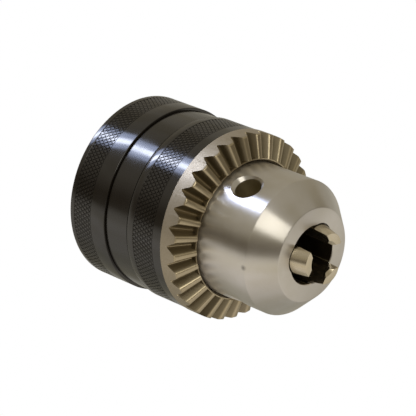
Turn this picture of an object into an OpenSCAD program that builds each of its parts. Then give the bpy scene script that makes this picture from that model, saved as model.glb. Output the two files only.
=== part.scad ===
// Keyed drill chuck with three self-centring jaws.
// The chuck stands on its rear face: +Z runs along the chuck's axis towards the nose,
// and the origin is the centre of the rear face, at the mouth of the mounting thread.

/* [Body] */
// Largest diameter, over the knurled rear of the body
chuck_d = 46; // [45.6:0.1:48]
// Length of the body, from the rear face to the nose face
body_length = 57.7; // [57:0.1:59]
// Height of the full-diameter rear of the body
rear_h = 12.1; // [11:0.1:12.4]
// Diameter of the nose
nose_d = 33; // [32.4:0.1:33.4]
// Height at which the nose starts to taper
taper_z = 52; // [50:0.1:54]
// Diameter of the flat nose face
face_d = 22.9; // [20:0.1:26]

/* [Mounting thread] */
// Minor diameter of the 1/2-20 UNF thread
thread_minor_d = 11.35; // [11.3:0.05:11.6]
// Depth of the threaded hole
thread_depth = 16; // [14:0.5:17]
// Diameter of the passage for a left-hand retaining screw
screw_passage_d = 6.6; // [5.5:0.1:8]
// Diameter of the centre bore that takes the tool shank
shank_bore_d = 14.4; // [14:0.1:14.8]
// Height of the floor of the centre bore
shank_bore_z = 20; // [19:0.5:22]

/* [Jaws] */
// Diameter of each round jaw bar
jaw_d = 7.8; // [7.6:0.1:8]
// Angle between a jaw and the chuck's axis
jaw_angle = 15; // [14.8:0.1:15.2]
// Height at which the three jaw axes would meet
jaw_cross_z = 71; // [70.5:0.1:71.5]
// Diameter of the tool that the jaws would hold as they stand
opening_d = 7.8; // [7:0.1:9]
// How far the jaws stand out of the nose face
jaw_reach = 4; // [3:0.1:5]
// Width of the narrow gripping land on each jaw
land_w = 1.5; // [1.2:0.1:1.8]
// Pitch of the jaw thread along the jaw
jaw_pitch = 2; // [2:0.1:2.2]

/* [Key holes] */
// Diameter of the pilot of the chuck key
key_pilot_d = 6.4; // [6:0.1:6.6]
// Distance from the chuck's axis to the floor of a key hole
key_floor_r = 8.5; // [8:0.1:10]
// Width of the countersink round a key hole
key_sink = 0.7; // [0.4:0.1:0.9]

/* [Sleeve and gear] */
// Number of teeth on the sleeve's bevel gear
gear_teeth = 31; // [30:1:32]
// Angle of the first tooth space
tooth_phase = 1.6; // [0:0.1:11]
// Height at which the sleeve's black part meets its bright toothed rim
rim_z = 31.1; // [30.5:0.1:31.5]
// Height of the root of a tooth space at the rim
root_z = 33.3; // [33.2:0.1:33.6]
// Height of the tooth tips at the rim
tip_z = 35.9; // [35.4:0.1:36.2]
// Height of the three key axes, where the teeth all point
apex_z = 43.4; // [43:0.1:44]
// Inner end of the teeth, from the chuck's axis
tooth_inner_r = 17.4; // [17.3:0.05:17.6]

/* [Split nut and bearing] */
// Height of the nut's front face
nut_front_z = 33; // [32.8:0.1:33]
// Number of bearing balls
ball_count = 24; // [20:1:24]
// Diameter of a bearing ball
ball_d = 2; // [1.8:0.1:2]

/* [Hidden] */
$fn = 96;
// Clearances: running fits, free gaps, and beside the thread flanks
running = 0.05;
contact_gap = 0.02;
free_gap = 0.2;
flank_gap = 0.18;
small_chamfer = 0.3;

// Body
rear_r = chuck_d / 2;
rear_chamfer = 0.4;
nose_r = nose_d / 2;
sleeve_bore_r = 20.5;
core_r = sleeve_bore_r - running;
neck_r = 17.4;
shoulder_z = 22.4;
neck_top_z = 25.3;
groove_front_z = nut_front_z + 0.1;
mouth_chamfer = 0.15;
thread_mouth = 0.8;
past = 1;

// Jaws: position and travel of the bars, and the wedge that forms their grip
jaw_r = jaw_d / 2;
jaw_rear_z = 15.1;
jaw_front_z = body_length + jaw_reach;
jaw_open_travel = 10.5;
jaw_rear_room = 0.9;
land_depth = land_w / 2 / tan(60);
wedge_r = opening_d / 2 - land_depth;
front_chamfer = 0.7;
lead_in = 0.7;
bore_relief = 0.3;
bore_relief_depth = 0.8;

// Jaw thread: a ridge in the nut and matching grooves in the jaws
ridge_tip_depth = 0.75;
ridge_tip_w = 0.55;
ridge_root_gap = 0.15;
groove_depth = 1.1;
flank_angle = 15;
ridge_step = 6;
lead_z = jaw_pitch * cos(jaw_angle);
ridge_margin = 0.75;
threaded_length = 29;

// Sleeve
sleeve_z = rear_h + free_gap;
band_r = rear_r - 0.6;
band_top_z = 19.7;
line_w = 0.3;
knurl_r = rear_r - 0.2;
gear_r = rear_r - 0.05;
tip_slope = (apex_z - tip_z) / gear_r;
root_slope = (apex_z - root_z) / gear_r;
tip_round = 0.8;
hub_r = 17.15;
hub_z = 37.25;
space_angle = 31;

// Thrust bearing
washer_inner_r = 17.6;
washer_outer_r = 20.35;
washer_top_z = shoulder_z + 1.2;
ball_z = washer_top_z + contact_gap + ball_d / 2;
nut_rear_z = ball_z + ball_d / 2 + contact_gap;
cage_inner_r = 17.65;
cage_outer_r = 20.4;
ball_circle_r = (cage_inner_r + cage_outer_r) / 2;
cage_h = 1.1;
pocket_gap = 0.08;

STEEL = "lightsteelblue";
BRIGHT = "gainsboro";
BLACK = "dimgray";

// Radius of the jaw's axis, and of its outermost line, at a height z
function jaw_axis_r(z) = (jaw_cross_z - z) * tan(jaw_angle);
function jaw_back_r(z) = jaw_axis_r(z) + jaw_r / cos(jaw_angle);

// Half width of the thread ridge at a depth below the jaw's outermost line
function ridge_half_w(depth) = ridge_tip_w / 2 + (ridge_tip_depth - depth) * tan(flank_angle);

// Places children with Z along a jaw at azimuth 0, from the point of its axis at height z
module along_jaw(z) {
    translate([jaw_axis_r(z), 0, z]) rotate([0, -jaw_angle, 0]) children();
}

// ---- Body: nose, core, neck and knurled rear, in one piece ----
module body_blank() {
    groove_drop = 1.45;
    rotate_extrude() polygon([
        [0, 0],
        [rear_r - rear_chamfer, 0],
        [rear_r, rear_chamfer],
        [rear_r, rear_h - small_chamfer],
        [rear_r - small_chamfer, rear_h],
        [core_r, rear_h],
        [core_r, shoulder_z],
        [neck_r, shoulder_z],
        [neck_r, neck_top_z],
        [jaw_back_r(neck_top_z) - groove_drop, neck_top_z],
        [jaw_back_r(groove_front_z) - groove_drop, groove_front_z],
        [nose_r, groove_front_z],
        [nose_r, taper_z],
        [face_d / 2, body_length],
        [0, body_length]
    ]);
}

module mounting_thread() {
    minor_r = thread_minor_d / 2;
    translate([0, 0, -past]) cylinder(r = minor_r, h = thread_depth + past);
    translate([0, 0, -past]) cylinder(r1 = minor_r + thread_mouth + past, r2 = minor_r, h = thread_mouth + past);
    cylinder(d = screw_passage_d, h = shank_bore_z + past);
}

module shank_bore() {
    bore_r = shank_bore_d / 2;
    translate([0, 0, shank_bore_z]) cylinder(r = bore_r, h = body_length);
    translate([0, 0, body_length - mouth_chamfer])
        cylinder(r1 = bore_r, r2 = bore_r + mouth_chamfer + past, h = mouth_chamfer + past);
}

// A jaw bore, relieved where it breaks out through the nose face
module jaw_bore() {
    floor_z = jaw_rear_z - jaw_open_travel * cos(jaw_angle) - jaw_rear_room;
    along_jaw(floor_z) cylinder(r = jaw_r + running, h = body_length + 2 * jaw_reach);
    intersection() {
        along_jaw(body_length - jaw_d) cylinder(r = jaw_r + bore_relief, h = 2 * jaw_d);
        translate([0, 0, body_length - bore_relief_depth]) cylinder(r = nose_r, h = jaw_d);
    }
}

module key_hole() {
    sink_r = key_pilot_d / 2 + key_sink;
    translate([key_floor_r, 0, apex_z]) rotate([0, 90, 0]) cylinder(d = key_pilot_d, h = nose_r);
    translate([nose_r - key_sink, 0, apex_z]) rotate([0, 90, 0])
        cylinder(r1 = key_pilot_d / 2, r2 = sink_r + past, h = key_sink + past);
}

module body() {
    color(BRIGHT) difference() {
        body_blank();
        mounting_thread();
        shank_bore();
        for (side = [0:2]) rotate([0, 0, 120 * side]) jaw_bore();
        for (side = [0:2]) rotate([0, 0, 120 * side + 60]) key_hole();
    }
}

// ---- Sleeve: black skirt with a bevel gear cut in its bright front ----
module sleeve_blank() {
    round_r = gear_r - tip_round;
    round_z = apex_z - tip_slope * round_r - tip_round / cos(atan(tip_slope));
    round_end = 90 - atan(tip_slope);
    guide_r = nose_r + running;
    rotate_extrude() polygon(concat(
        [
            [sleeve_bore_r, sleeve_z],
            [band_r - small_chamfer, sleeve_z],
            [band_r, sleeve_z + small_chamfer],
            [band_r, band_top_z - line_w],
            [band_r - line_w, band_top_z - line_w],
            [band_r - line_w, band_top_z],
            [knurl_r, band_top_z],
            [knurl_r, rim_z],
            [gear_r, rim_z + small_chamfer]
        ],
        [for (t = [0:1/6:1]) [round_r + tip_round * cos(t * round_end), round_z + tip_round * sin(t * round_end)]],
        [
            [tooth_inner_r, apex_z - tip_slope * tooth_inner_r],
            [tooth_inner_r, hub_z],
            [hub_r, hub_z],
            [guide_r, hub_z - 2 * (hub_r - guide_r)],
            [guide_r, nut_front_z],
            [sleeve_bore_r, nut_front_z]
        ]
    ));
}

// A straight V whose root line runs from the rim towards the apex, where all three key axes meet
module tooth_space() {
    root_angle = atan(root_slope);
    inner = tooth_inner_r / cos(root_angle);
    outer = (gear_r + past) / cos(root_angle);
    height = 5;
    half_w = height * tan(space_angle);
    translate([0, 0, apex_z]) rotate([0, 90 + root_angle, 0]) translate([0, 0, inner])
        linear_extrude(height = outer - inner) polygon([[0, 0], [-height, half_w], [-height, -half_w]]);
}

module sleeve() {
    color(BLACK) difference() {
        sleeve_blank();
        for (i = [0:gear_teeth - 1]) rotate([0, 0, tooth_phase + i * 360 / gear_teeth]) tooth_space();
    }
}

// ---- Split nut: two halves with a conical thread that drives the jaws ----
// One ring of the ridge's outline, at a turn angle counted from the start of the thread
function ridge_ring(angle) =
    let (
        centre_z = nut_rear_z + ridge_margin + lead_z * angle / 360,
        root = -2 * ridge_root_gap
    )
    [for (corner = [[-1, root], [-1, ridge_tip_depth], [1, ridge_tip_depth], [1, root]])
        let (
            along = corner[0] * ridge_half_w(corner[1]),
            r = jaw_back_r(centre_z) - along * sin(jaw_angle) - corner[1] * cos(jaw_angle),
            z = centre_z + along * cos(jaw_angle) - corner[1] * sin(jaw_angle)
        )
        [r * cos(angle), r * sin(angle), z]
    ];

module thread_ridge(from, to) {
    steps = ceil((to - from) / ridge_step);
    rings = [for (i = [0:steps]) each ridge_ring(from + (to - from) * i / steps)];
    sides = [
        for (i = [0:steps - 1], j = [0:3])
            [4 * i + j, 4 * i + 4 + j, 4 * i + 4 + (j + 1) % 4, 4 * i + (j + 1) % 4]
    ];
    first_end = [0, 1, 2, 3];
    last_end = [for (j = [3:-1:0]) 4 * steps + j];
    polyhedron(rings, concat(sides, [first_end], [last_end]), convexity = 4);
}

module nut_half(side) {
    bore_gap = ridge_root_gap / cos(jaw_angle);
    split = 0.05;
    split_angle = 0.4;
    last_angle = 360 * (nut_front_z - nut_rear_z - 2 * ridge_margin) / lead_z;
    start = 180 * (side - 1);
    color(STEEL) union() {
        difference() {
            rotate_extrude() polygon([
                [jaw_back_r(nut_rear_z) + bore_gap, nut_rear_z],
                [sleeve_bore_r, nut_rear_z],
                [sleeve_bore_r, nut_front_z],
                [jaw_back_r(nut_front_z) + bore_gap, nut_front_z]
            ]);
            rotate([0, 0, start]) translate([-chuck_d, split - chuck_d * 2, 0]) cube(chuck_d * 2);
        }
        for (turn = [0:floor((last_angle - start) / 360)])
            thread_ridge(
                360 * turn + start + split_angle,
                min(360 * turn + start + 180 - split_angle, last_angle)
            );
    }
}

// ---- Jaws: round bars with a 120 degree grip and a thread across the back ----
module jaw_groove() {
    outside = 0.5;
    wide = ridge_half_w(-outside) + flank_gap;
    narrow = ridge_half_w(groove_depth) + flank_gap;
    rotate([90, 0, 0]) linear_extrude(height = jaw_d + past, center = true) polygon([
        [jaw_r + outside, -wide],
        [jaw_r + outside, wide],
        [jaw_r - groove_depth, narrow],
        [jaw_r - groove_depth, -narrow]
    ]);
}

module jaw_grip() {
    reach = chuck_d;
    flank_y = (reach - wedge_r) * tan(60);
    linear_extrude(height = jaw_front_z) polygon([
        [wedge_r + land_depth, -land_w / 2],
        [reach, -flank_y],
        [reach, flank_y],
        [wedge_r + land_depth, land_w / 2]
    ]);
}

// The three jaws share a conical lead-in that guides a tool to their grip
module lead_in_cone() {
    grip_r = opening_d / 2;
    translate([0, 0, jaw_front_z - lead_in])
        cylinder(r1 = grip_r, r2 = grip_r + lead_in + past, h = lead_in + past);
}

module jaw(number) {
    azimuth = 120 * (number - 1);
    length = (jaw_front_z - jaw_rear_z) / cos(jaw_angle) + jaw_d;
    // Groove that meets the ridge where the nut's thread starts, as a length along the jaw
    meet_z = nut_rear_z + ridge_margin + lead_z * azimuth / 360 - jaw_r * sin(jaw_angle);
    meet = (meet_z - jaw_rear_z) / cos(jaw_angle);
    // The rearmost groove may run out through the jaw's end, where the ridge still passes
    run_out = ridge_half_w(0) + flank_gap;
    first = ceil((-run_out - meet) / jaw_pitch);
    last = floor((threaded_length - meet) / jaw_pitch);
    front_r = jaw_back_r(jaw_front_z) - front_chamfer;
    color(BRIGHT) rotate([0, 0, azimuth]) difference() {
        intersection() {
            along_jaw(jaw_rear_z) cylinder(r = jaw_r, h = length);
            jaw_grip();
        }
        for (k = [first:last]) along_jaw(jaw_rear_z) translate([0, 0, meet + k * jaw_pitch]) jaw_groove();
        lead_in_cone();
        translate([front_r, 0, jaw_front_z]) rotate([0, 45, 0]) translate([0, -chuck_d / 2, 0]) cube(chuck_d);
    }
}

// ---- Thrust bearing between the body's shoulder and the nut ----
module thrust_washer() {
    color(STEEL) rotate_extrude()
        translate([washer_inner_r, shoulder_z]) square([washer_outer_r - washer_inner_r, washer_top_z - shoulder_z]);
}

module at_ball(i) {
    rotate([0, 0, i * 360 / ball_count]) translate([ball_circle_r, 0, ball_z]) children();
}

module ball_cage() {
    color("goldenrod") difference() {
        rotate_extrude()
            translate([cage_inner_r, ball_z - cage_h / 2]) square([cage_outer_r - cage_inner_r, cage_h]);
        for (i = [1:ball_count]) at_ball(i) cylinder(d = ball_d + 2 * pocket_gap, h = 2 * cage_h, center = true);
    }
}

module ball(i) {
    color(STEEL) at_ball(i) sphere(d = ball_d, $fn = 24);
}

body();
sleeve();
nut_half(1);  // nut_half_1
nut_half(2);  // nut_half_2
jaw(1);  // jaw_1
jaw(2);  // jaw_2
jaw(3);  // jaw_3
thrust_washer();
ball_cage();
for (i = [1:ball_count]) ball(i);
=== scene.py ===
import math

import bmesh
import bpy
from mathutils import Matrix, Vector


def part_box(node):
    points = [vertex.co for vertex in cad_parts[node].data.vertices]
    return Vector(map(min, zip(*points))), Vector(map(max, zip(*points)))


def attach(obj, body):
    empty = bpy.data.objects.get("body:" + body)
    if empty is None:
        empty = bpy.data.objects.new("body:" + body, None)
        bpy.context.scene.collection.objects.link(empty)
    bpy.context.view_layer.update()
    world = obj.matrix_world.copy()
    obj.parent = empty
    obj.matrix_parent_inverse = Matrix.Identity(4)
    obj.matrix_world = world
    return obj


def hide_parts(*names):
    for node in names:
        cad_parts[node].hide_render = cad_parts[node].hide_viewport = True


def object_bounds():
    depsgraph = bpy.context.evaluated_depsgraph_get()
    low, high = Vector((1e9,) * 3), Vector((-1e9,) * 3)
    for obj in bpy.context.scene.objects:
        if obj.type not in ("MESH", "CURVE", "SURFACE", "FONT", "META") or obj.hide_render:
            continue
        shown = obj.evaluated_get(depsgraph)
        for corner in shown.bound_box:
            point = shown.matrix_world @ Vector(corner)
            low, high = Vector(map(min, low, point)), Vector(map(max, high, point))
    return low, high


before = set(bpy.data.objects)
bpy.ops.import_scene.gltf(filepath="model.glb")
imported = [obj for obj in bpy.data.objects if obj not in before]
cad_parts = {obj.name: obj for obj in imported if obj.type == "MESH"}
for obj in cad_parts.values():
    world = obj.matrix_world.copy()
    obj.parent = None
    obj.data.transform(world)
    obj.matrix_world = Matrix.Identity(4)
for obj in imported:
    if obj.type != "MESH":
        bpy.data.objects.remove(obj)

cad_low, cad_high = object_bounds()

# ---- Camera, floor and studio light ----
# The chuck stands on its rear face. The camera looks down past its nose and is
# rolled over, so that the chuck seems to lie with its nose to the lower right.
scene = bpy.context.scene
centre = (cad_low + cad_high) / 2
height = cad_high.z - cad_low.z
VIEW_AZIMUTH = math.radians(64.0)
VIEW_ELEVATION = math.radians(40.16)
VIEW_ROLL = math.radians(111.7)
CAMERA_HEIGHTS = 8.474
AIM_LEFT = 0.0785
AIM_UP = 0.052
LENS_MM = 190.4
SENSOR_MM = 36

camera_back = Vector((
    math.sin(VIEW_AZIMUTH) * math.cos(VIEW_ELEVATION),
    -math.cos(VIEW_AZIMUTH) * math.cos(VIEW_ELEVATION),
    math.sin(VIEW_ELEVATION),
))
upright = (-camera_back).to_track_quat("-Z", "Y").to_matrix()
turned_camera = upright @ Matrix.Rotation(VIEW_ROLL, 3, "Z")
camera_right = turned_camera.col[0]
camera_up = turned_camera.col[1]
aim = centre - camera_right * height * AIM_LEFT + camera_up * height * AIM_UP
camera_place = Matrix.Translation(aim + camera_back * height * CAMERA_HEIGHTS)

camera = bpy.data.objects.new("camera", bpy.data.cameras.new("camera"))
scene.collection.objects.link(camera)
camera.data.lens = LENS_MM
camera.data.sensor_width = SENSOR_MM
camera.data.clip_start = 0.01
camera.data.clip_end = 10
camera.matrix_world = camera_place @ turned_camera.to_4x4()
scene.camera = camera

FLOOR_HALF = 3.0
floor_bm = bmesh.new()
bmesh.ops.create_grid(floor_bm, x_segments=1, y_segments=1, size=FLOOR_HALF)
bmesh.ops.translate(floor_bm, verts=floor_bm.verts, vec=(0, 0, cad_low.z))
floor_mesh = bpy.data.meshes.new("studio_floor")
floor_bm.to_mesh(floor_mesh)
floor_bm.free()
floor = bpy.data.objects.new("studio_floor", floor_mesh)
scene.collection.objects.link(floor)
floor.visible_glossy = False
floor.visible_diffuse = False
floor.visible_shadow = False

floor_paint = bpy.data.materials.new("pale_floor")
floor_paint.use_nodes = True
floor_shader = floor_paint.node_tree.nodes["Principled BSDF"]
floor_shader.inputs["Base Color"].default_value = (0, 0, 0, 1)
floor_shader.inputs["Specular IOR Level"].default_value = 0
floor_shader.inputs["Emission Color"].default_value = (1, 1, 1, 1)
floor_shader.inputs["Emission Strength"].default_value = 1
floor_mesh.materials.append(floor_paint)

# The room round the chuck: a pale table on the +Y side, a dim horizon, a brighter
# ceiling on the -Y side, a pale backdrop away from the camera, and soft clutter.
TABLE_UP = Vector((0.115, -0.9934, 0.0))
scene.view_settings.view_transform = "Standard"
scene.view_settings.look = "None"
world = bpy.data.worlds.new("studio")
scene.world = world
world.use_nodes = True
room, room_links = world.node_tree.nodes, world.node_tree.links
towards_wall = room.new("ShaderNodeTexCoord")
rise = room.new("ShaderNodeVectorMath")
rise.operation = "DOT_PRODUCT"
rise.inputs[1].default_value = TABLE_UP
room_links.new(towards_wall.outputs["Generated"], rise.inputs[0])
rise_share = room.new("ShaderNodeMapRange")
rise_share.inputs["From Min"].default_value = -1
rise_share.inputs["From Max"].default_value = 1
room_links.new(rise.outputs["Value"], rise_share.inputs["Value"])


def bands(shades):
    """A colour ramp from the table, at -1, up to the ceiling, at 1."""
    ramp = room.new("ShaderNodeValToRGB")
    stops = ramp.color_ramp.elements
    while len(stops) < len(shades):
        stops.new(0.5)
    for stop, (level, shade) in zip(stops, shades):
        stop.position = (level + 1) / 2
        stop.color = (*shade, 1)
    room_links.new(rise_share.outputs["Result"], ramp.inputs["Fac"])
    return ramp


near_side = bands([
    (-1.0, (0.48, 0.46, 0.43)),
    (-0.75, (0.66, 0.62, 0.58)),
    (-0.3, (0.78, 0.74, 0.68)),
    (-0.14, (0.56, 0.53, 0.48)),
    (-0.04, (0.17, 0.15, 0.12)),
    (0.16, (0.14, 0.12, 0.095)),
    (0.42, (0.36, 0.33, 0.27)),
    (1.0, (0.45, 0.42, 0.36)),
])
far_side = bands([
    (-1.0, (0.34, 0.33, 0.29)),
    (-0.3, (0.48, 0.46, 0.40)),
    (0.0, (0.44, 0.42, 0.38)),
    (0.3, (0.42, 0.38, 0.30)),
    (1.0, (0.48, 0.44, 0.36)),
])
away = room.new("ShaderNodeVectorMath")
away.operation = "DOT_PRODUCT"
away.inputs[1].default_value = -camera_back
room_links.new(towards_wall.outputs["Generated"], away.inputs[0])
away_share = room.new("ShaderNodeMapRange")
away_share.inputs["From Min"].default_value = 0.1
away_share.inputs["From Max"].default_value = 0.6
room_links.new(away.outputs["Value"], away_share.inputs["Value"])
walls = room.new("ShaderNodeMix")
walls.data_type = "RGBA"
room_links.new(away_share.outputs["Result"], walls.inputs["Factor"])
room_links.new(near_side.outputs["Color"], walls.inputs["A"])
room_links.new(far_side.outputs["Color"], walls.inputs["B"])
clutter = room.new("ShaderNodeTexNoise")
clutter.inputs["Scale"].default_value = 3.2
clutter.inputs["Detail"].default_value = 4
clutter.inputs["Roughness"].default_value = 0.62
room_links.new(towards_wall.outputs["Generated"], clutter.inputs["Vector"])
clutter_shade = room.new("ShaderNodeValToRGB")
dim_stop, clear_stop = clutter_shade.color_ramp.elements
dim_stop.position = 0.36
dim_stop.color = (0.74, 0.71, 0.60, 1)
clear_stop.position = 0.6
clear_stop.color = (1.0, 1.0, 1.0, 1)
room_links.new(clutter.outputs["Fac"], clutter_shade.inputs["Fac"])
furnished = room.new("ShaderNodeMix")
furnished.data_type = "RGBA"
furnished.blend_type = "MULTIPLY"
furnished.inputs["Factor"].default_value = 1
room_links.new(walls.outputs["Result"], furnished.inputs["A"])
room_links.new(clutter_shade.outputs["Color"], furnished.inputs["B"])
room_links.new(furnished.outputs["Result"], room["Background"].inputs["Color"])
room["Background"].inputs["Strength"].default_value = 1.1


def softbox(name, azimuth, elevation, distance, width, length, glow, tint):
    """A rectangular light that faces the chuck. Angles are in degrees, and sizes in metres."""
    turn, lift = math.radians(azimuth), math.radians(elevation)
    towards = Vector((math.cos(turn) * math.cos(lift), math.sin(turn) * math.cos(lift), math.sin(lift)))
    lamp = bpy.data.lights.new(name, "AREA")
    lamp.shape = "RECTANGLE"
    lamp.size, lamp.size_y = width, length
    lamp.energy = glow * math.pi * width * length
    lamp.color = tint
    holder = bpy.data.objects.new(name, lamp)
    scene.collection.objects.link(holder)
    holder.location = centre + towards * distance
    holder.rotation_euler = towards.to_track_quat("Z", "Y").to_euler()
    holder.visible_camera = False


softbox("cool_softbox", -68, -41, 0.5, 0.15, 0.3, 5.0, (0.55, 0.66, 1.0))
softbox("cool_tube", -67.5, -41, 0.49, 0.045, 0.28, 13.0, (0.84, 0.88, 1.0))
softbox("warm_softbox", -50, 43, 0.5, 0.24, 0.25, 2.1, (1.0, 0.975, 0.88))

# ---- Body ----
# One turned steel piece: a bright nose with a cone and a flat face, a neck inside
# the sleeve, and a full-diameter rear that is knurled and blackened. The jaw bores
# and key holes are drilled in it, and its rear is threaded for the drill's spindle.
MM = 0.001
TURN_STEPS = 160
SHARP_ANGLE = math.radians(28)
MERGE = 1e-7


def turned(outline, steps=TURN_STEPS):
    """A closed outline of (radius, height) points in millimetres, spun round the chuck's axis."""
    bm = bmesh.new()
    ring = [bm.verts.new((r * MM, 0, z * MM)) for r, z in outline]
    edges = [bm.edges.new((a, b)) for a, b in zip(ring, ring[1:] + ring[:1])]
    bmesh.ops.spin(
        bm, geom=ring + edges, cent=(0, 0, 0), axis=(0, 0, 1), angle=math.tau, steps=steps, use_merge=True
    )
    bmesh.ops.remove_doubles(bm, verts=bm.verts, dist=MERGE)
    bmesh.ops.recalc_face_normals(bm, faces=bm.faces)
    return bm


def soften(bm, edges, width, segments):
    """Bevels the edges, to a width in millimetres."""
    bmesh.ops.bevel(
        bm, geom=edges, offset=width * MM, offset_type="OFFSET", segments=segments, profile=0.5,
        affect="EDGES", clamp_overlap=True, material=-1,
    )


def round_rings(bm, corners, width):
    """Rounds the circular edges that pass through these (radius, height) corners, in millimetres."""
    near = 2e-5
    edges = []
    for edge in bm.edges:
        for r, z in corners:
            off_ring = [(abs(v.co.xy.length - r * MM), abs(v.co.z - z * MM)) for v in edge.verts]
            if all(aside < near and along < near for aside, along in off_ring):
                edges.append(edge)
    soften(bm, edges, width, 2)


def slice_off(bm, point, outward, tolerance=1e-8):
    """Cuts bm at a plane, drops what lies outward of it, and closes the cut."""
    cut = bmesh.ops.bisect_plane(
        bm, geom=bm.verts[:] + bm.edges[:] + bm.faces[:], dist=tolerance,
        plane_co=point, plane_no=outward, clear_outer=True,
    )
    rims = [e for e in cut["geom_cut"] if isinstance(e, bmesh.types.BMEdge)]
    bmesh.ops.holes_fill(bm, edges=rims, sides=0)


def cut_away(bm, cutter):
    """Takes the cutter's closed volume out of bm, and frees the cutter."""
    holders = []
    for part, shape in (("stock", bm), ("cutter", cutter)):
        mesh = bpy.data.meshes.new(part)
        shape.to_mesh(mesh)
        holder = bpy.data.objects.new(part, mesh)
        scene.collection.objects.link(holder)
        holders.append(holder)
    stock, tool = holders
    modifier = stock.modifiers.new("cut", "BOOLEAN")
    modifier.operation = "DIFFERENCE"
    modifier.solver = "EXACT"
    modifier.use_self = True
    modifier.object = tool
    result = stock.evaluated_get(bpy.context.evaluated_depsgraph_get()).to_mesh()
    bm.clear()
    bm.from_mesh(result)
    cutter.free()
    for holder in holders:
        bpy.data.meshes.remove(holder.data)
    bmesh.ops.remove_doubles(bm, verts=bm.verts, dist=MERGE)
    return bm


def finish_piece(name, bm, body, node, finishes):
    """Makes the object, with smooth curves and sharp corners, and hands it to its CAD body."""
    mesh = bpy.data.meshes.new(name)
    bm.to_mesh(mesh)
    bm.free()
    mesh.shade_smooth()
    mesh.set_sharp_from_angle(angle=SHARP_ANGLE)
    for finish in finishes:
        mesh.materials.append(finish)
    piece = bpy.data.objects.new(name, mesh)
    scene.collection.objects.link(piece)
    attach(piece, body)
    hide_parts(node)
    return piece


def drill(cutter, radius, start, direction, length, mouth=0.0, mouth_at=0.0, sides=64):
    """Adds a drilled hole's volume to the cutter: a rod, and a cone that opens at its mouth."""
    axis = Vector(direction).normalized()
    aim_along = axis.to_track_quat("Z", "Y").to_matrix().to_4x4()
    middle = Vector(start) + axis * length / 2
    bmesh.ops.create_cone(
        cutter, cap_ends=True, segments=sides, radius1=radius, radius2=radius, depth=length,
        matrix=Matrix.Translation(middle) @ aim_along,
    )
    if mouth:
        throat = radius * 0.98
        rim = mouth + radius
        middle = Vector(start) + axis * (mouth_at + (rim - throat) / 2)
        bmesh.ops.create_cone(
            cutter, cap_ends=True, segments=sides, radius1=throat, radius2=rim, depth=rim - throat,
            matrix=Matrix.Translation(middle) @ aim_along,
        )


REAR_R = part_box("body")[1].y / MM
BODY_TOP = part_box("body")[1].z / MM
REAR_TOP = 12.1
REAR_CHAMFER = 0.4
REAR_EDGE = 0.1
NOSE_R = 16.5
NUT_RECESS_TOP = 33.1
TAPER_Z = 52.0
FACE_R = 11.45
NUT_RECESS_FRONT_R = 12.76
NUT_RECESS_REAR_R = 14.83
NECK_TOP_Z = 25.3
NECK_R = 17.4
SHOULDER_Z = 22.4
CORE_R = 20.45
SHANK_R = 7.2
SHANK_FLOOR = 20
MOUTH_CHAMFER = 0.15
SCREW_PASSAGE_R = 3.3
THREAD_ROOT_R = 6.35
THREAD_CREST_R = 5.7
THREAD_LEAD_IN = 0.5
THREAD_DEPTH = 16
KNURL_DEPTH = 0.2
KNURL_SLOPE = 0.15
REAR_KNURL = (1.7, 7.3)

body_bm = turned([
    (THREAD_ROOT_R + THREAD_LEAD_IN, 0), (THREAD_ROOT_R, THREAD_LEAD_IN), (THREAD_ROOT_R, THREAD_DEPTH),
    (SCREW_PASSAGE_R, THREAD_DEPTH), (SCREW_PASSAGE_R, SHANK_FLOOR), (SHANK_R, SHANK_FLOOR),
    (SHANK_R, BODY_TOP - MOUTH_CHAMFER), (SHANK_R + MOUTH_CHAMFER, BODY_TOP),
    (FACE_R, BODY_TOP), (NOSE_R, TAPER_Z), (NOSE_R, NUT_RECESS_TOP),
    (NUT_RECESS_FRONT_R, NUT_RECESS_TOP), (NUT_RECESS_REAR_R, NECK_TOP_Z), (NECK_R, NECK_TOP_Z),
    (NECK_R, SHOULDER_Z), (CORE_R, SHOULDER_Z), (CORE_R, REAR_TOP),
    (REAR_R - REAR_EDGE, REAR_TOP), (REAR_R, REAR_TOP - REAR_EDGE),
    (REAR_R, REAR_KNURL[1] + KNURL_SLOPE), (REAR_R - KNURL_DEPTH, REAR_KNURL[1]),
    (REAR_R - KNURL_DEPTH, REAR_KNURL[0]), (REAR_R, REAR_KNURL[0] - KNURL_SLOPE),
    (REAR_R, REAR_CHAMFER), (REAR_R - REAR_CHAMFER, 0),
])
round_rings(body_bm, [(REAR_R, REAR_TOP - REAR_EDGE), (REAR_R - REAR_EDGE, REAR_TOP)], 0.04)
round_rings(body_bm, [(REAR_R, REAR_CHAMFER), (REAR_R - REAR_CHAMFER, 0)], 0.15)
round_rings(body_bm, [(FACE_R, BODY_TOP), (NOSE_R, TAPER_Z)], 0.2)

# The three jaw bores run in from the face, with a wider relief at their mouths.
JAW_ANGLE = math.radians(15)
JAW_CROSS_Z = 71.0
JAW_R = 3.9
JAW_PLAY = 0.05
JAW_BORE_FLOOR = 4.06
JAW_BORE_LENGTH = 64
RELIEF_PLAY = 0.3
RELIEF_DEPTH = 0.8
RELIEF_FROM = 50
RELIEF_LENGTH = 20
JAW_WAY = (-math.sin(JAW_ANGLE), 0, math.cos(JAW_ANGLE))


def on_jaw_axis(z):
    """The point of the first jaw's axis at this height, in millimetres."""
    return ((JAW_CROSS_Z - z) * math.tan(JAW_ANGLE), 0, z)


def spun(point, azimuth):
    """A point given in millimetres at azimuth 0, turned round the axis, in metres."""
    return Matrix.Rotation(azimuth, 3, "Z") @ (Vector(point) * MM)


def jaw_bores(radius, from_z, length):
    """The volume of three rods on the jaws' axes."""
    rods = bmesh.new()
    for side in range(3):
        azimuth = math.tau * side / 3
        start, way = spun(on_jaw_axis(from_z), azimuth), spun(JAW_WAY, azimuth)
        drill(rods, radius * MM, start, way, length * MM)
    return rods


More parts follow.
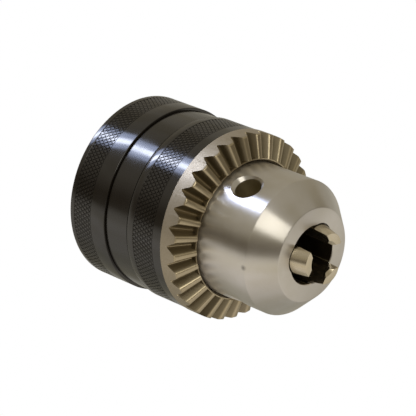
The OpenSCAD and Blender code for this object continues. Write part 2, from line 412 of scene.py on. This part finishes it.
cut_away(body_bm, jaw_bores(JAW_R + JAW_PLAY, JAW_BORE_FLOOR, JAW_BORE_LENGTH))
reliefs = jaw_bores(JAW_R + RELIEF_PLAY, RELIEF_FROM, RELIEF_LENGTH)
slice_off(reliefs, (0, 0, (BODY_TOP - RELIEF_DEPTH) * MM), (0, 0, -1))
bmesh.ops.recalc_face_normals(reliefs, faces=reliefs.faces)
cut_away(body_bm, reliefs)

# The three key holes are drilled in from the nose, between the jaws, with countersunk mouths.
KEY_Z = 43.4
KEY_HOLE_R = 3.2
KEY_FLOOR_R = 8.5
KEY_HOLE_LENGTH = 9
KEY_MOUTH = 1.6
KEY_MOUTH_DEPTH = 0.95
key_holes = bmesh.new()
for side in range(3):
    azimuth = math.tau * (side + 0.5) / 3
    drill(
        key_holes, KEY_HOLE_R * MM, spun((KEY_FLOOR_R, 0, KEY_Z), azimuth), spun((1, 0, 0), azimuth),
        KEY_HOLE_LENGTH * MM, mouth=KEY_MOUTH * MM, mouth_at=(NOSE_R - KEY_FLOOR_R - KEY_MOUTH_DEPTH) * MM,
    )
cut_away(body_bm, key_holes)

# The spindle thread: a V ridge wound up the wall of the rear bore, sunk a little into it.
THREAD_PITCH = 25.4 / 20
THREAD_START = 1.1
THREAD_TURNS = 11.5
THREAD_STEPS = 40
THREAD_SUNK = 0.15
CREST_HALF = 0.08
half_pitch = THREAD_PITCH / 2 * 0.98
thread_outline = [
    (THREAD_ROOT_R + THREAD_SUNK, -half_pitch), (THREAD_ROOT_R + THREAD_SUNK, half_pitch),
    (THREAD_CREST_R, CREST_HALF), (THREAD_CREST_R, -CREST_HALF),
]


def add_mesh(bm, extra):
    """Adds the extra bmesh to bm as it is, and frees it."""
    mesh = bpy.data.meshes.new("extra")
    extra.to_mesh(mesh)
    extra.free()
    bm.from_mesh(mesh)
    bpy.data.meshes.remove(mesh)


thread_bm = bmesh.new()
thread_ring = [thread_bm.verts.new((r * MM, 0, (z + THREAD_START) * MM)) for r, z in thread_outline]
thread_face = thread_bm.faces.new(thread_ring)
bmesh.ops.spin(
    thread_bm, geom=[thread_face], cent=(0, 0, 0), axis=(0, 0, 1), angle=math.tau * THREAD_TURNS,
    steps=int(THREAD_STEPS * THREAD_TURNS), dvec=(0, 0, THREAD_PITCH / THREAD_STEPS * MM),
)
bmesh.ops.recalc_face_normals(thread_bm, faces=thread_bm.faces)
add_mesh(body_bm, thread_bm)

KNURL_CELLS = 132
KNURL_STRETCH = 1.5
KNURL_OVERLAP = 1.02
KNURL_TOP = 0.62
KNURL_FOOT = 0.01


def knurl(bm, radius, band):
    """Diamond knurl: flat-topped four-sided frustums in staggered rows, trimmed at the band's ends."""
    bottom, top = band
    cell_w = math.tau * radius / KNURL_CELLS
    cell_h = cell_w * KNURL_STRETCH
    column = bmesh.new()
    rows = int((top - bottom) / cell_h * 2) + 3
    lie_on_wall = Matrix.Rotation(math.pi / 2, 4, "Y")
    for row in range(rows):
        place = Matrix.Rotation(math.pi / KNURL_CELLS * (row % 2), 4, "Z") @ Matrix.Translation(
            ((radius - KNURL_DEPTH * 0.75) * MM, 0, (bottom + cell_h / 2 * (row - 0.4)) * MM)
        )
        half_h, half_w = cell_h / 2 * KNURL_OVERLAP * MM, cell_w / 2 * KNURL_OVERLAP * MM
        bmesh.ops.create_cone(
            column, cap_ends=True, segments=4, radius1=1.0, radius2=KNURL_TOP, depth=KNURL_DEPTH * 1.5,
            matrix=place @ lie_on_wall @ Matrix.Diagonal((half_h, half_w, MM, 1)),
        )
    for limit, way in ((bottom, -1), (top, 1)):
        slice_off(column, (0, 0, limit * MM), (0, 0, way), tolerance=1e-7)
    bmesh.ops.recalc_face_normals(column, faces=column.faces)
    bmesh.ops.spin(
        column, geom=column.verts[:] + column.edges[:] + column.faces[:], cent=(0, 0, 0), axis=(0, 0, 1),
        angle=math.tau * (KNURL_CELLS - 1) / KNURL_CELLS, steps=KNURL_CELLS - 1, use_duplicate=True,
    )
    add_mesh(bm, column)


knurl(body_bm, REAR_R - KNURL_FOOT, REAR_KNURL)

MARK_SIZE = 0.16
STAIN_SIZE = 6
GRIT_SIZE = 0.35


def metal(name, colour, roughness, wear=0.12, marks=0.25, speckle=0.0, brushed=0.0):
    """Turned metal: fine rings left by the tool, uneven sheen, stains and grit, all round the axis."""
    material = bpy.data.materials.new(name)
    material.use_nodes = True
    nodes, links = material.node_tree.nodes, material.node_tree.links
    shader = nodes["Principled BSDF"]
    shader.inputs["Metallic"].default_value = 1.0

    place = nodes.new("ShaderNodeTexCoord")
    apart = nodes.new("ShaderNodeSeparateXYZ")
    links.new(place.outputs["Object"], apart.inputs["Vector"])
    flat = nodes.new("ShaderNodeCombineXYZ")
    links.new(apart.outputs["X"], flat.inputs["X"])
    links.new(apart.outputs["Y"], flat.inputs["Y"])
    radius = nodes.new("ShaderNodeVectorMath")
    radius.operation = "LENGTH"
    links.new(flat.outputs["Vector"], radius.inputs[0])
    across = nodes.new("ShaderNodeCombineXYZ")
    links.new(radius.outputs["Value"], across.inputs["X"])
    links.new(apart.outputs["Z"], across.inputs["Z"])

    if brushed:
        shader.inputs["Anisotropic"].default_value = brushed
        shader.inputs["Anisotropic Rotation"].default_value = 0.25
        round_axis = nodes.new("ShaderNodeVectorMath")
        round_axis.operation = "CROSS_PRODUCT"
        round_axis.inputs[0].default_value = (0, 0, 1)
        links.new(flat.outputs["Vector"], round_axis.inputs[1])
        to_world = nodes.new("ShaderNodeVectorTransform")
        to_world.vector_type = "VECTOR"
        to_world.convert_from = "OBJECT"
        to_world.convert_to = "WORLD"
        links.new(round_axis.outputs["Vector"], to_world.inputs["Vector"])
        unit = nodes.new("ShaderNodeVectorMath")
        unit.operation = "NORMALIZE"
        links.new(to_world.outputs["Vector"], unit.inputs[0])
        links.new(unit.outputs["Vector"], shader.inputs["Tangent"])

    rings = nodes.new("ShaderNodeTexNoise")
    rings.inputs["Scale"].default_value = 1 / (MARK_SIZE * MM)
    rings.inputs["Detail"].default_value = 3
    links.new(across.outputs["Vector"], rings.inputs["Vector"])
    bump = nodes.new("ShaderNodeBump")
    bump.inputs["Strength"].default_value = marks
    bump.inputs["Distance"].default_value = 0.02 * MM
    links.new(rings.outputs["Fac"], bump.inputs["Height"])
    links.new(bump.outputs["Normal"], shader.inputs["Normal"])

    stains = nodes.new("ShaderNodeTexNoise")
    stains.inputs["Scale"].default_value = 1 / (STAIN_SIZE * MM)
    stains.inputs["Detail"].default_value = 5
    links.new(place.outputs["Object"], stains.inputs["Vector"])
    sheen = nodes.new("ShaderNodeMapRange")
    sheen.inputs["From Min"].default_value = 0.3
    sheen.inputs["From Max"].default_value = 0.7
    sheen.inputs["To Min"].default_value = roughness * (1 - wear)
    sheen.inputs["To Max"].default_value = roughness * (1 + wear)
    links.new(stains.outputs["Fac"], sheen.inputs["Value"])
    links.new(sheen.outputs["Result"], shader.inputs["Roughness"])

    grit = nodes.new("ShaderNodeTexNoise")
    grit.inputs["Scale"].default_value = 1 / (GRIT_SIZE * MM)
    grit.inputs["Detail"].default_value = 4
    links.new(place.outputs["Object"], grit.inputs["Vector"])
    patch = nodes.new("ShaderNodeMix")
    patch.data_type = "FLOAT"
    patch.inputs["Factor"].default_value = speckle
    links.new(stains.outputs["Fac"], patch.inputs["A"])
    links.new(grit.outputs["Fac"], patch.inputs["B"])
    tone = nodes.new("ShaderNodeMix")
    tone.data_type = "RGBA"
    stained = (1 - 2 * wear, 1 - 2.3 * wear, 1 - 3.6 * wear)
    tone.inputs["A"].default_value = (*[c * share for c, share in zip(colour, stained)], 1)
    tone.inputs["B"].default_value = (*[min(1, c * (1 + 2 * wear)) for c in colour], 1)
    links.new(patch.outputs["Result"], tone.inputs["Factor"])
    links.new(tone.outputs["Result"], shader.inputs["Base Color"])
    return material


bright_steel = metal("bright_turned_steel", (0.66, 0.64, 0.63), 0.3, wear=0.07, marks=0.12, brushed=0.9)
black_oxide = metal(
    "black_oxide_steel", (0.009, 0.007, 0.006), 0.16, wear=0.3, marks=0.04, speckle=0.5, brushed=0.5
)
oxide_shader = black_oxide.node_tree.nodes["Principled BSDF"]
oxide_shader.inputs["Metallic"].default_value = 0
oxide_shader.inputs["IOR"].default_value = 1.66
# Painted shade: the faces inside the bores get this dark colour, for the shade deep in the holes.
bore_painted_shade_steel = metal("steel_in_bores_painted_shade", (0.12, 0.10, 0.08), 0.45, wear=0.2)
drilled_steel = metal("drilled_hole_steel", (0.5, 0.45, 0.33), 0.5, wear=0.1)

# A small dark knock on the edge between the nose and its cone, 1.7 mm across.
KNOCK_AT = spun((NOSE_R, 0, 51.6), math.radians(5))
steel_nodes, steel_links = bright_steel.node_tree.nodes, bright_steel.node_tree.links
steel_shader = steel_nodes["Principled BSDF"]
knock_from = steel_nodes.new("ShaderNodeTexCoord")
knock_reach = steel_nodes.new("ShaderNodeVectorMath")
knock_reach.operation = "DISTANCE"
knock_reach.inputs[1].default_value = KNOCK_AT
steel_links.new(knock_from.outputs["Object"], knock_reach.inputs[0])
knock_shade = steel_nodes.new("ShaderNodeMapRange")
knock_shade.inputs["From Min"].default_value = 0.15 * MM
knock_shade.inputs["From Max"].default_value = 0.85 * MM
knock_shade.inputs["To Min"].default_value = 0.45
steel_links.new(knock_reach.outputs["Value"], knock_shade.inputs["Value"])
knocked = steel_nodes.new("ShaderNodeVectorMath")
knocked.operation = "SCALE"
steel_links.new(steel_shader.inputs["Base Color"].links[0].from_socket, knocked.inputs[0])
steel_links.new(knock_shade.outputs["Result"], knocked.inputs["Scale"])
steel_links.new(knocked.outputs["Vector"], steel_shader.inputs["Base Color"])

body_finishes = [bright_steel, black_oxide, bore_painted_shade_steel, drilled_steel]
chuck_body = finish_piece("chuck_body_steel", body_bm, "chuck_body", "body", body_finishes)
for face in chuck_body.data.polygons:
    reach = face.center.xy.length / MM
    up = face.center.z / MM
    on_cone = face.normal.z > 0.3 and up > TAPER_Z - 0.3
    on_outside = reach > NOSE_R - 0.02 or up > BODY_TOP - 0.01 or on_cone
    in_key_hole = abs(up - KEY_Z) < KEY_HOLE_R + 0.05 and reach < NOSE_R - 0.6
    in_front_bores = up > REAR_TOP and not on_outside and reach < NOSE_R - 0.9
    in_rear_bore = 0.6 < up < REAR_TOP and reach < SHANK_R
    if in_key_hole:
        finish = drilled_steel
    # Faces inside the bores take the dark painted shade.
    elif in_front_bores or in_rear_bore:
        finish = bore_painted_shade_steel
    elif up < REAR_TOP + 0.1:
        finish = black_oxide
    else:
        finish = bright_steel
    face.material_index = body_finishes.index(finish)

# ---- Sleeve ----
# One steel piece, pressed over the split nut. Its skirt is blackened, with a plain
# recessed band and a knurled band. Its bright front is cut with the straight bevel
# teeth that the key turns.
SLEEVE_Z = 12.3
SLEEVE_BORE_R = 20.5
WEB_Z = 33
BAND_R = 22.4
BAND_TOP = 19.7
BAND_EDGE = 0.08
LINE_WIDTH = 0.4
LINE_DEPTH = 0.35
KNURL_R = 22.8
SLEEVE_KNURL = (21.8, 28.2)
KNURL_BAND_EDGE = 0.3
GEAR_R = 22.95
RIM_Z = 31.1
GEAR_TEETH = 31
TOOTH_PHASE = math.radians(1.6)
TOOTH_INNER_R = 17.4
HUB_R = 17.15
HUB_Z = 37.25
GUIDE_R = 16.55
TIP_Z = 35.9
ROOT_Z = 33.3
TIP_SLOPE = (KEY_Z - TIP_Z) / GEAR_R
ROOT_SLOPE = (KEY_Z - ROOT_Z) / GEAR_R
FLANK_TURN = 0.55
TIP_ROUND = 0.8
TIP_ARC_STEPS = 6
EDGE_SOFTNESS = 0.016
ROOT_SOFTNESS = 0.009
STEPS_PER_TOOTH = 32

tip_tilt = math.atan(TIP_SLOPE)
round_r = GEAR_R - TIP_ROUND
round_z = KEY_Z - TIP_SLOPE * round_r - TIP_ROUND / math.cos(tip_tilt)
tooth_end = []
for part in range(TIP_ARC_STEPS + 1):
    lean = (math.pi / 2 - tip_tilt) * part / TIP_ARC_STEPS
    tooth_end.append((round_r + TIP_ROUND * math.cos(lean), round_z + TIP_ROUND * math.sin(lean)))

sleeve_bm = turned([
    (SLEEVE_BORE_R, SLEEVE_Z), (BAND_R - BAND_EDGE, SLEEVE_Z), (BAND_R, SLEEVE_Z + BAND_EDGE),
    (BAND_R, BAND_TOP - LINE_WIDTH), (BAND_R - LINE_DEPTH, BAND_TOP - LINE_WIDTH),
    (BAND_R - LINE_DEPTH, BAND_TOP), (KNURL_R - KNURL_BAND_EDGE, BAND_TOP),
    (KNURL_R - 0.09, BAND_TOP + 0.09), (KNURL_R, BAND_TOP + KNURL_BAND_EDGE),
    (KNURL_R, SLEEVE_KNURL[0] - KNURL_SLOPE), (KNURL_R - KNURL_DEPTH, SLEEVE_KNURL[0]),
    (KNURL_R - KNURL_DEPTH, SLEEVE_KNURL[1]), (KNURL_R, SLEEVE_KNURL[1] + KNURL_SLOPE),
    (KNURL_R, RIM_Z - 0.05), (GEAR_R, RIM_Z + 0.1), *tooth_end,
    (SLEEVE_BORE_R, KEY_Z - TIP_SLOPE * SLEEVE_BORE_R), (TOOTH_INNER_R, KEY_Z - TIP_SLOPE * TOOTH_INNER_R),
    (TOOTH_INNER_R - 0.01, HUB_Z), (HUB_R, HUB_Z), (GUIDE_R, HUB_Z - 2 * (HUB_R - GUIDE_R)),
    (GUIDE_R, WEB_Z), (SLEEVE_BORE_R, WEB_Z),
], steps=GEAR_TEETH * STEPS_PER_TOOTH)

# Each point of the toothed front sinks to the flank of the tooth space that is nearest to it.
flank_depth = sleeve_bm.verts.layers.float.new("flank_depth")
for corner in sleeve_bm.verts:
    r, z = corner.co.xy.length / MM, corner.co.z / MM
    if r < TOOTH_INNER_R - 0.005 or z < RIM_Z + 0.5:
        continue
    turn = (math.atan2(corner.co.y, corner.co.x) - TOOTH_PHASE) * GEAR_TEETH / math.tau
    aside = abs(turn - round(turn)) * math.tau / GEAR_TEETH
    aside = math.hypot(aside, ROOT_SOFTNESS) - ROOT_SOFTNESS
    to_flank = TIP_SLOPE - (ROOT_SLOPE - aside / FLANK_TURN)
    slope = TIP_SLOPE - to_flank / 2 + math.hypot(to_flank, EDGE_SOFTNESS) / 2
    corner.co.z = min(z, KEY_Z - r * slope) * MM
    corner[flank_depth] = (slope - TIP_SLOPE) / (ROOT_SLOPE - TIP_SLOPE)
bmesh.ops.recalc_face_normals(sleeve_bm, faces=sleeve_bm.faces)
knurl(sleeve_bm, KNURL_R - KNURL_FOOT, SLEEVE_KNURL)

# Painted shade darkens the teeth's flanks; a painted highlight runs along each tooth's edge, and a lighter
# painted streak along each root.
FLANK_PAINTED_SHADES = ((0.0, 0.8), (0.07, 1.0), (0.22, 0.5), (0.82, 0.42), (1.0, 0.85))
gear_steel = metal("gear_steel", (0.56, 0.485, 0.36), 0.3, wear=0.1, marks=0.15, speckle=0.4)
gear_nodes, gear_links = gear_steel.node_tree.nodes, gear_steel.node_tree.links
gear_shader = gear_nodes["Principled BSDF"]
depth_seen = gear_nodes.new("ShaderNodeAttribute")
depth_seen.attribute_name = "flank_depth"
painted_flank_shade = gear_nodes.new("ShaderNodeValToRGB")
shade_stops = painted_flank_shade.color_ramp.elements
while len(shade_stops) < len(FLANK_PAINTED_SHADES):
    shade_stops.new(0.5)
for stop, (depth, shade) in zip(shade_stops, FLANK_PAINTED_SHADES):
    stop.position = depth
    stop.color = (shade, shade, shade, 1)
gear_links.new(depth_seen.outputs["Fac"], painted_flank_shade.inputs["Fac"])
# The flank ramp multiplies the gear's colour: painted shade on the flanks, painted highlight on edges and
# roots.
base_with_flank_shade = gear_nodes.new("ShaderNodeMix")
base_with_flank_shade.data_type = "RGBA"
base_with_flank_shade.blend_type = "MULTIPLY"
base_with_flank_shade.inputs["Factor"].default_value = 1
gear_links.new(gear_shader.inputs["Base Color"].links[0].from_socket, base_with_flank_shade.inputs["A"])
gear_links.new(painted_flank_shade.outputs["Color"], base_with_flank_shade.inputs["B"])
gear_links.new(base_with_flank_shade.outputs["Result"], gear_shader.inputs["Base Color"])
rim_steel = metal("gear_rim_steel", (0.45, 0.40, 0.33), 0.54, wear=0.1, marks=0.3, speckle=0.8)
sleeve_finishes = [black_oxide, gear_steel, rim_steel]
toothed_sleeve = finish_piece(
    "toothed_sleeve_steel", sleeve_bm, "toothed_sleeve", "sleeve", sleeve_finishes
)
for face in toothed_sleeve.data.polygons:
    if face.center.z > (RIM_Z + 0.02) * MM:
        reach = face.center.xy.length / MM
        on_rim = reach > GEAR_R - 0.2 and face.normal.xy.length > 0.9 or reach < HUB_R + 0.1
        face.material_index = sleeve_finishes.index(rim_steel if on_rim else gear_steel)

# ---- Jaws ----
# Three round bars of hardened, ground steel. Each has a 120 degree wedge with a
# narrow land for its grip, and thread grooves across its back for the split nut.
GRIP_R = 3.9
FLANK_ANGLE = math.radians(60)
LAND_W = 1.5
LAND_DEPTH = LAND_W / 2 / math.tan(FLANK_ANGLE)
LEAD_IN = 0.7
FRONT_CHAMFER = 0.55
GROUND_EDGE = 0.18
JAW_FRONT = cad_high.z / MM
JAW_REAR = 15.1
JAW_LENGTH = 60
JAW_SIDES = 96
GROOVE_PITCH = 2.0
GROOVE_DEPTH = 1.1
GROOVE_MOUTH = 1.66
GROOVE_FLOOR = 0.8
GROOVE_END = 29.0
GROOVE_RUN_OUT = 0.656
GROOVE_REACH = 5
NUT_THREAD_Z = 26.39
jaw_steel = metal("ground_jaw_steel", (0.66, 0.60, 0.50), 0.24, wear=0.1, marks=0.1)
bar_way = Vector(JAW_WAY)
bar_start = Vector(on_jaw_axis(JAW_REAR))


def jaw_bar():
    """The first jaw's bar, with its wedge, land and front ground and its edges softened."""
    bar = bmesh.new()
    drill(bar, JAW_R * MM, bar_start * MM, bar_way, JAW_LENGTH * MM, sides=JAW_SIDES)
    wedge_tip = GRIP_R - LAND_DEPTH
    flats = [
        ((wedge_tip, 0, 0), (-math.sin(FLANK_ANGLE), math.cos(FLANK_ANGLE), 0)),
        ((wedge_tip, 0, 0), (-math.sin(FLANK_ANGLE), -math.cos(FLANK_ANGLE), 0)),
        ((GRIP_R, 0, 0), (-1, 0, 0)),
        ((0, 0, JAW_FRONT), (0, 0, 1)),
    ]
    for point, outward in flats:
        slice_off(bar, Vector(point) * MM, outward)
    bmesh.ops.dissolve_limit(bar, angle_limit=math.radians(0.5), verts=bar.verts[:], edges=bar.edges[:])
    bmesh.ops.recalc_face_normals(bar, faces=bar.faces)
    for at_front, width in ((True, FRONT_CHAMFER), (False, GROUND_EDGE)):
        edges = [e for e in bar.edges if len(e.link_faces) == 2 and e.calc_face_angle() > math.radians(35)]
        edges = [e for e in edges if all(v.co.z > (JAW_FRONT - 0.01) * MM for v in e.verts) == at_front]
        soften(bar, edges, width, 4)
    return bar


def cut_groove(cuts, along):
    """Adds one thread groove's volume, this far up the first jaw's bar, in millimetres."""
    floor_x, mouth_x = JAW_R - GROOVE_DEPTH, JAW_R + 0.5
    corners = [
        (floor_x, -GROOVE_FLOOR / 2), (floor_x, GROOVE_FLOOR / 2),
        (mouth_x, GROOVE_MOUTH / 2), (mouth_x, -GROOVE_MOUTH / 2),
    ]
    outline = [cuts.verts.new((x * MM, -GROOVE_REACH * MM, z * MM)) for x, z in corners]
    sweep = bmesh.ops.extrude_face_region(cuts, geom=[cuts.faces.new(outline)])
    far_end = [v for v in sweep["geom"] if isinstance(v, bmesh.types.BMVert)]
    bmesh.ops.translate(cuts, verts=far_end, vec=(0, 2 * GROOVE_REACH * MM, 0))
    place = Matrix.Translation((bar_start + bar_way * along) * MM)
    bmesh.ops.transform(cuts, verts=outline + far_end, matrix=place @ Matrix.Rotation(-JAW_ANGLE, 4, "Y"))


for number in range(3):
    jaw_bm = jaw_bar()
    cuts = bmesh.new()
    cone_depth = LEAD_IN + 1
    cone_middle = JAW_FRONT - LEAD_IN + cone_depth / 2
    bmesh.ops.create_cone(
        cuts, cap_ends=True, segments=JAW_SIDES, radius1=GRIP_R * MM, radius2=(GRIP_R + LEAD_IN + 1) * MM,
        depth=cone_depth * MM, matrix=Matrix.Translation((0, 0, cone_middle * MM)),
    )
    # The nut's thread meets each jaw a third of a pitch higher than the one before.
    lift = GROOVE_PITCH * math.cos(JAW_ANGLE) * number / 3
    meets = (NUT_THREAD_Z + lift - JAW_R * math.sin(JAW_ANGLE) - JAW_REAR) / math.cos(JAW_ANGLE)
    groove = math.ceil((-GROOVE_RUN_OUT - meets) / GROOVE_PITCH)
    while meets + groove * GROOVE_PITCH < GROOVE_END:
        cut_groove(cuts, meets + groove * GROOVE_PITCH)
        groove += 1
    bmesh.ops.recalc_face_normals(cuts, faces=cuts.faces)
    cut_away(jaw_bm, cuts)
    turn = Matrix.Rotation(math.tau * number / 3, 4, "Z")
    bmesh.ops.transform(jaw_bm, matrix=turn, verts=jaw_bm.verts)
    bmesh.ops.recalc_face_normals(jaw_bm, faces=jaw_bm.faces)
    jaw = f"jaw_{number + 1}"
    finish_piece(f"{jaw}_steel", jaw_bm, jaw, jaw, [jaw_steel])

# ---- Split nut and thrust bearing ----
# Sealed inside the sleeve: a hardened nut in two halves, pressed into it, and behind
# the nut a ground washer and hardened balls in a pressed brass cage.
nut_steel = metal("hardened_nut_steel", (0.36, 0.35, 0.34), 0.35)
ball_steel = metal("bearing_ball_steel", (0.7, 0.7, 0.71), 0.1, marks=0.02)
cage_brass = metal("cage_brass", (0.72, 0.5, 0.2), 0.3)
for name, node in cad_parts.items():
    if name.startswith("nut_half") or name == "thrust_washer":
        finish = nut_steel
    elif name == "ball_cage":
        finish = cage_brass
    elif name.startswith("ball_"):
        finish = ball_steel
    else:
        continue
    node.data.materials.clear()
    node.data.materials.append(finish)
